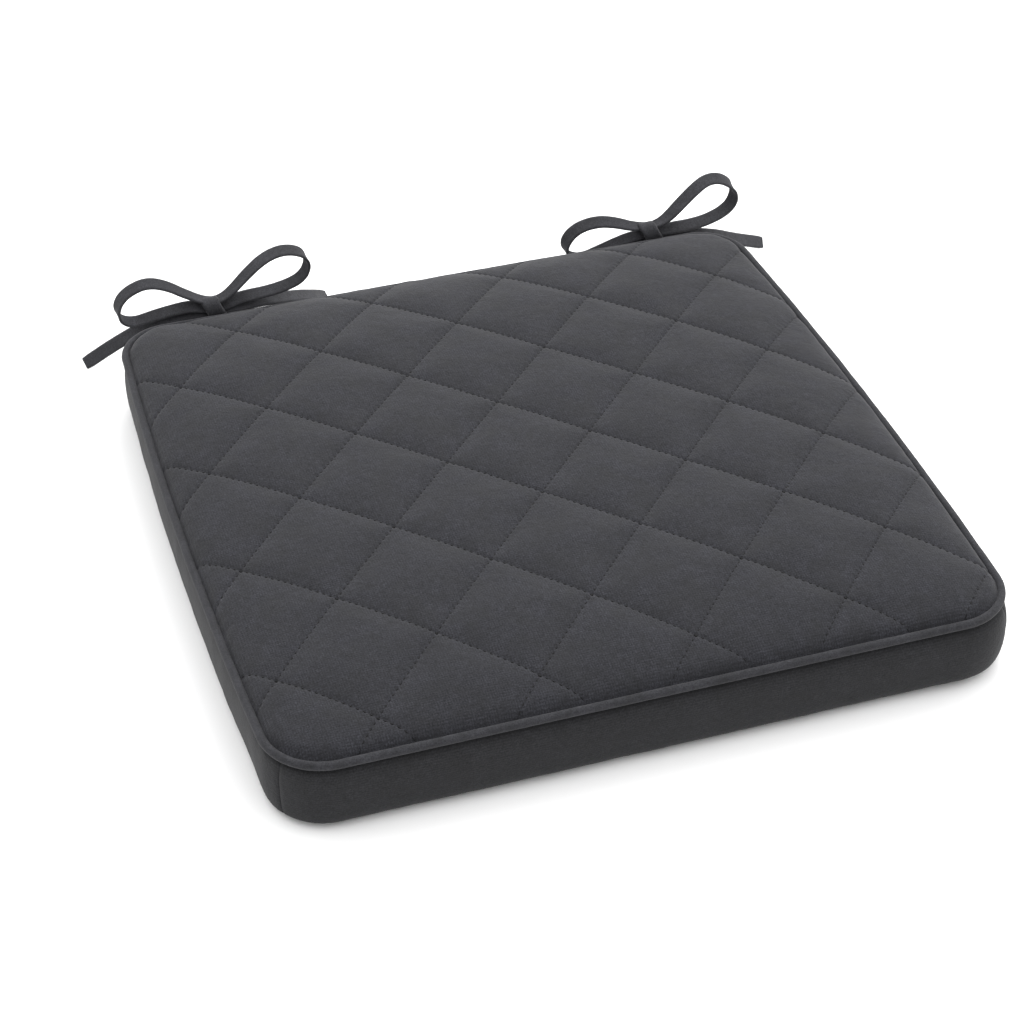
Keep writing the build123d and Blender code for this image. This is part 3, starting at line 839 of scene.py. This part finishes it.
# ---- ties ---------------------------------------------------------------------------------------
TIE_ROUTES = {
    "tie_left_a": [
        (-0.144, 0.230, 0.0555), (-0.1525, 0.230, 0.056), (-0.1645, 0.231, 0.0605), (-0.178, 0.233, 0.0695),
        (-0.190, 0.236, 0.072), (-0.2015, 0.2375, 0.0675), (-0.209, 0.239, 0.060), (-0.2115, 0.239, 0.0515),
        (-0.208, 0.2385, 0.0445), (-0.200, 0.237, 0.0425), (-0.189, 0.2345, 0.0465),
        (-0.176, 0.2315, 0.0505), (-0.161, 0.230, 0.0525), (-0.147, 0.230, 0.0495), (-0.132, 0.2305, 0.0465),
        (-0.118, 0.2345, 0.0445), (-0.1055, 0.2415, 0.0395), (-0.093, 0.251, 0.033),
        (-0.0815, 0.2615, 0.0255), (-0.071, 0.272, 0.017), (-0.063, 0.2825, 0.009),
        (-0.0575, 0.2895, 0.0035)],
    "tie_left_b": [
        (-0.153, 0.230, 0.056), (-0.1445, 0.230, 0.0555), (-0.1355, 0.2305, 0.0585), (-0.124, 0.232, 0.0685),
        (-0.112, 0.2345, 0.0765), (-0.100, 0.237, 0.079), (-0.089, 0.2395, 0.076), (-0.0815, 0.242, 0.0695),
        (-0.080, 0.242, 0.061), (-0.085, 0.2405, 0.0535), (-0.096, 0.239, 0.050), (-0.111, 0.2355, 0.050),
        (-0.127, 0.232, 0.0515), (-0.141, 0.230, 0.0505), (-0.155, 0.230, 0.0475), (-0.171, 0.2305, 0.046),
        (-0.1835, 0.233, 0.0435), (-0.1945, 0.2375, 0.037), (-0.206, 0.2435, 0.028), (-0.217, 0.250, 0.018),
        (-0.2275, 0.2545, 0.009), (-0.234, 0.256, 0.0045)],
    "tie_right_a": [
        (0.1655, 0.230, 0.053), (0.1595, 0.230, 0.0535), (0.1485, 0.231, 0.0545), (0.136, 0.233, 0.059),
        (0.1245, 0.236, 0.060), (0.1125, 0.238, 0.057), (0.1045, 0.2395, 0.050), (0.1015, 0.240, 0.0415),
        (0.1055, 0.2395, 0.0335), (0.114, 0.238, 0.0305), (0.127, 0.236, 0.036), (0.141, 0.2335, 0.0425),
        (0.1535, 0.2305, 0.0475), (0.1645, 0.230, 0.046), (0.1785, 0.230, 0.043), (0.1925, 0.2315, 0.040),
        (0.2055, 0.235, 0.035), (0.2175, 0.240, 0.029), (0.230, 0.246, 0.021), (0.242, 0.2525, 0.0135),
        (0.2535, 0.256, 0.008), (0.2605, 0.2585, 0.0045)],
    "tie_right_b": [
        (0.1565, 0.230, 0.053), (0.165, 0.230, 0.0535), (0.1735, 0.2305, 0.0565), (0.1845, 0.233, 0.065),
        (0.1955, 0.236, 0.0725), (0.2055, 0.2395, 0.0765), (0.216, 0.242, 0.075), (0.225, 0.243, 0.069),
        (0.229, 0.243, 0.0615), (0.2275, 0.242, 0.0535), (0.220, 0.2405, 0.048), (0.2075, 0.237, 0.046),
        (0.194, 0.234, 0.046), (0.180, 0.2305, 0.048), (0.1675, 0.230, 0.048), (0.1535, 0.2305, 0.0445),
        (0.1445, 0.2315, 0.0395), (0.1365, 0.236, 0.032), (0.128, 0.243, 0.024), (0.1195, 0.250, 0.0155),
        (0.112, 0.256, 0.008), (0.1065, 0.2605, 0.003)],
}
KNOTS = {"left": (-0.1483, 0.230, 0.052), "right": (0.1613, 0.230, 0.0495)}
BOW_FACES = (-0.25, -0.75, 0.61)  # the strips lean so that their flats look up and to the front
LOOP_TURN = {"left": 1.4, "right": 2.6}  # how far the loops' strips are turned that way
KNOT_GRIP = {"left": 0.12, "right": 0.25}  # share of the strips' width that the knot gathers in
KNOT_DROP = {"left": 0.0023, "right": 0.0}  # the bow's own weight lowers it onto the pad's edge
TAIL_TURN = {"tie_left_a": 1.2, "tie_left_b": 8, "tie_right_a": 8, "tie_right_b": 8}
KNOT_LEAN = {"left": 0.40, "right": 0.50}  # the band slants down towards +X


def eased(values, reach):
    """Each row averaged with up to `reach` rows either side."""
    padded = np.pad(values, ((reach, reach), (0, 0)), mode="edge")
    return np.mean([padded[k:k + len(values)] for k in range(2 * reach + 1)], axis=0)


def route_curve(name, route):
    """Points on the smooth NURBS line that a tie's route draws."""
    data = bpy.data.curves.new(name, "CURVE")
    data.dimensions = "3D"
    data.resolution_u = 10
    spline = data.splines.new("NURBS")
    spline.points.add(len(route) - 1)
    for point, place_at in zip(spline.points, route):
        point.co = (*place_at, 1.0)
    spline.order_u = 3
    spline.use_endpoint_u = True
    curve = link(name + "_route", data)
    mesh = bpy.data.meshes.new_from_object(curve.evaluated_get(bpy.context.evaluated_depsgraph_get()))
    points = np.array([v.co for v in mesh.vertices])
    bpy.data.meshes.remove(mesh)
    bpy.data.objects.remove(curve)
    return points


def unit(vectors):
    return vectors / np.linalg.norm(vectors, axis=-1, keepdims=True)


def strip_section(width, thickness):
    """Outline of a pressed flat tube: a thin middle, fuller folded edges."""
    points = []
    for side in (1, -1):
        for u in np.linspace(-1, 1, 11)[:-1] * side:
            fullness = 0.72 + 0.28 * abs(u) ** 3
            closing = math.sqrt(max(1 - abs(u) ** 9, 0))
            points.append((u * width / 2, -side * thickness / 2 * fullness * closing))
    return points


def make_strip(name, points, widths, scale, material, width=TIE_WIDTH, thickness=0.0024):
    """A flat sewn strip along points, its width laid along `widths` and scaled by `scale`."""
    tangents = unit(np.gradient(points, axis=0))
    across = unit(widths - (widths * tangents).sum(1, keepdims=True) * tangents)
    normals = np.cross(tangents, across)
    section = strip_section(width, thickness)
    wrinkle = 0.00022 * ripple(points, 0.009, 2.5)
    vertices = []
    for u, v in section:
        sway = 0.00012 * ripple(points + [0, 0, u], 0.005, 4.0)
        side = (u * scale)[:, None] * across
        lift = v + wrinkle * (1 - (2 * u / width) ** 2) + sway
        vertices.append(points + side + lift[:, None] * normals)
    rows, columns = len(points), len(section)
    vertices = np.stack(vertices, 1).reshape(-1, 3)
    vertices[:, 2] = np.maximum(vertices[:, 2], 0.0003)  # the tails rest on what the pad lies on
    faces = grid_faces(rows, columns, wrap_columns=True).tolist()
    faces += [list(range(columns))[::-1], [len(vertices) - columns + i for i in range(columns)]]
    return mesh_object(name, vertices, faces, material)


def make_tie(name, route, material):
    """One tie: its loop, its way back through the knot and its tail, which turns flat to the floor."""
    side = "left" if "left" in name else "right"
    points = route_curve(name, route)
    share = np.linspace(0, 1, len(points))  # of the way along the tie
    tangents = unit(np.gradient(points, axis=0))
    back = np.tile([0.0, 1.0, 0.0], (len(points), 1))
    face_on = unit(np.cross(tangents, BOW_FACES))
    loop, tail = LOOP_TURN[side], TAIL_TURN[name]
    # Where along the tie the strip is turned to the front, and how far.
    shares = (0, 0.06, 0.14, 0.5, 0.56, 0.64, 0.74)
    turn = np.interp(share, shares, (0.4, loop / 2, loop, loop, 1.5, 8, tail))
    widths = eased(unit(back + turn[:, None] * face_on[:, 1:2] * face_on), 9)
    # The strip is gathered where the knot grips it, and its end is turned in and sewn.
    gathered = np.exp(-(((points[:, 0] - KNOTS[side][0]) / 0.011) ** 2))
    scale = 1 - KNOT_GRIP[side] * gathered
    scale = scale * (1 - 0.10 * np.clip((share - 0.985) / 0.015, 0, 1))
    hanging = points - np.outer(KNOT_DROP[side] * gathered, (0, 0, 1))
    tie = make_strip(name, hanging, widths, scale, material)
    place(tie, "tie_fabric", "root", name)


KNOT_RADIUS_Y = 0.0046
KNOT_RADIUS_Z = 0.0058
KNOT_LAYER = 0.0009  # how much each turn of the band adds
BAND_WIDTH = 0.0125
BAND_THICKNESS = 0.0019


def make_knot(side, centre, material):
    """The band of the bow: a strip wound round both ties, its end tucked under."""
    turns = np.linspace(-0.15, 1.22, 90)
    angle = 2 * np.pi * turns + 2.2
    layer = KNOT_LAYER * np.clip(turns, 0, 1.2)
    radius_y, radius_z = KNOT_RADIUS_Y + layer, KNOT_RADIUS_Z + layer
    drop = radius_z * np.sin(angle)
    points = np.column_stack([centre[0] - KNOT_LEAN[side] * drop, centre[1] + radius_y * np.cos(angle),
                              centre[2] - 0.0006 - KNOT_DROP[side] + drop])
    widths = np.tile([1.0, 0.0, 0.0], (len(points), 1))
    pinch = 1.0 - 0.12 * np.abs(np.sin(angle * 1.5))
    knot = make_strip(f"knot_{side}", points, widths, pinch, material, BAND_WIDTH, BAND_THICKNESS)
    return place(knot, "tie_fabric", "root", f"tie_{side}_knot")


def make_root(side, centre, material):
    """Both ties' sewn root, from the seam under the piping to the knot."""
    start_y = DEPTH / 2 + 0.0003
    route = [(start_y - 0.0022, 0.0428), (start_y + 0.002, 0.0426), (0.2240, 0.0423), (0.2268, 0.0432),
             (0.2285, 0.0452), (0.2295, centre[2] - 0.0055)]
    curve = smooth_curve(route, 40)
    points = np.column_stack([np.full(len(curve), centre[0]), curve])
    widths = np.tile([1.0, 0.0, 0.0], (len(points), 1))
    root = make_strip(f"root_{side}", points, widths, np.ones(len(points)), material, TIE_WIDTH, 0.0014)
    return place(root, "tie_fabric", "root", f"tie_{side}_root")


# ---- the pad ------------------------------------------------------------------------------------
def repaint(material, *nodes):
    """CAD nodes whose shape is right keep it and take a full material."""
    for node in nodes:
        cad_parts[node].data.materials.clear()
        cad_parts[node].data.materials.append(material)


bpy.context.scene.view_settings.view_transform = "Standard"
make_camera()
make_tent()
make_light("softbox_over_back", (0.65, 1.00, 1.7), size=1.2, power=14)
make_floor()

# The ties' suede is lighter than the top's as painted light on the bows.
lit_tie_suede = suede("lit_tie_suede", TIE_LIT_COLOUR, mottle=0.22, speckle=0.3, sheen=0.06)
for bow, knot_centre in KNOTS.items():
    bow_knot = make_knot(bow, knot_centre, lit_tie_suede)
    bow_root = make_root(bow, knot_centre, lit_tie_suede)
    make_tie(f"tie_{bow}_a", TIE_ROUTES[f"tie_{bow}_a"], lit_tie_suede)
    make_tie(f"tie_{bow}_b", TIE_ROUTES[f"tie_{bow}_b"], lit_tie_suede)

puffs = puffed_sheet()
top_suede = suede("quilted_suede", TOP_COLOUR, mottle=0.26, speckle=0.50, sheen=0.07, ribs=("X", "Y"))
make_quilted_top(puffs, top_suede)
make_quilt_stitching(puffs, thread_painted_shade_material())
wadding = make_quilt_layer("wadding", "quilt_wadding", "wadding", puffs, 0.0025, 0.0025,
                           fibre_material("carded_wadding", (0.75, 0.75, 0.74), 0.002))
make_quilt_layer("backing", "quilt_backing", "backing_fabric", puffs, 0.0060, 0.0003, backing_material())
piping_suede = suede("piping_suede", PIPING_COLOUR, mottle=0.26, speckle=0.35, sheen=0.07)
make_piping(piping_suede)

# The boxing's suede is darker than the top's as painted shade on the upright sides; the bottom panel shares
# it.
shaded_boxing_suede = suede("shaded_boxing_suede", BOXING_SHADED_COLOUR, mottle=0.20, speckle=0.40, sheen=0.06, ribs=("Z",))
LEFT_SEAM = length_at(y=FRONT_SEAM_Y, side=-1)
RIGHT_SEAM = length_at(y=FRONT_SEAM_Y, side=1)
BACK_LEFT = length_at(x=-ZIP_PANEL)
BACK_RIGHT = length_at(x=ZIP_PANEL)
BACK_END = PERIMETER + BACK_LEFT
STRIPS = {
    "boxing_front": (BOXING, LEFT_SEAM, RIGHT_SEAM),
    "boxing_left": (BOXING, BACK_LEFT, LEFT_SEAM),
    "boxing_right": (BOXING, RIGHT_SEAM, BACK_RIGHT),
    "boxing_back_upper": (BOXING_UPPER, BACK_RIGHT, BACK_END),
    "boxing_back_lower": (BOXING_LOWER, BACK_RIGHT, BACK_END),
}
for strip_node, (strip_profile, strip_start, strip_finish) in STRIPS.items():
    make_boxing(strip_node, strip_profile, strip_start, strip_finish, shaded_boxing_suede)
make_bottom(shaded_boxing_suede)
make_foam(foam_material())

nylon = coil_material()
make_coil("coil_upper", "zip_coil_upper", 1, nylon)
make_coil("coil_lower", "zip_coil_lower", -1, nylon)
repaint(tape_material(), "zip_tape_upper", "zip_tape_lower")
repaint(enamel_material(), "zip_stops", "zip_slider", "zip_pull")
repaint(fibre_material("topper_fibre", (0.78, 0.78, 0.77), 0.003), "fibre_topper")
repaint(rope_material(), "piping_cord")
repaint(piping_suede, "piping_flange")
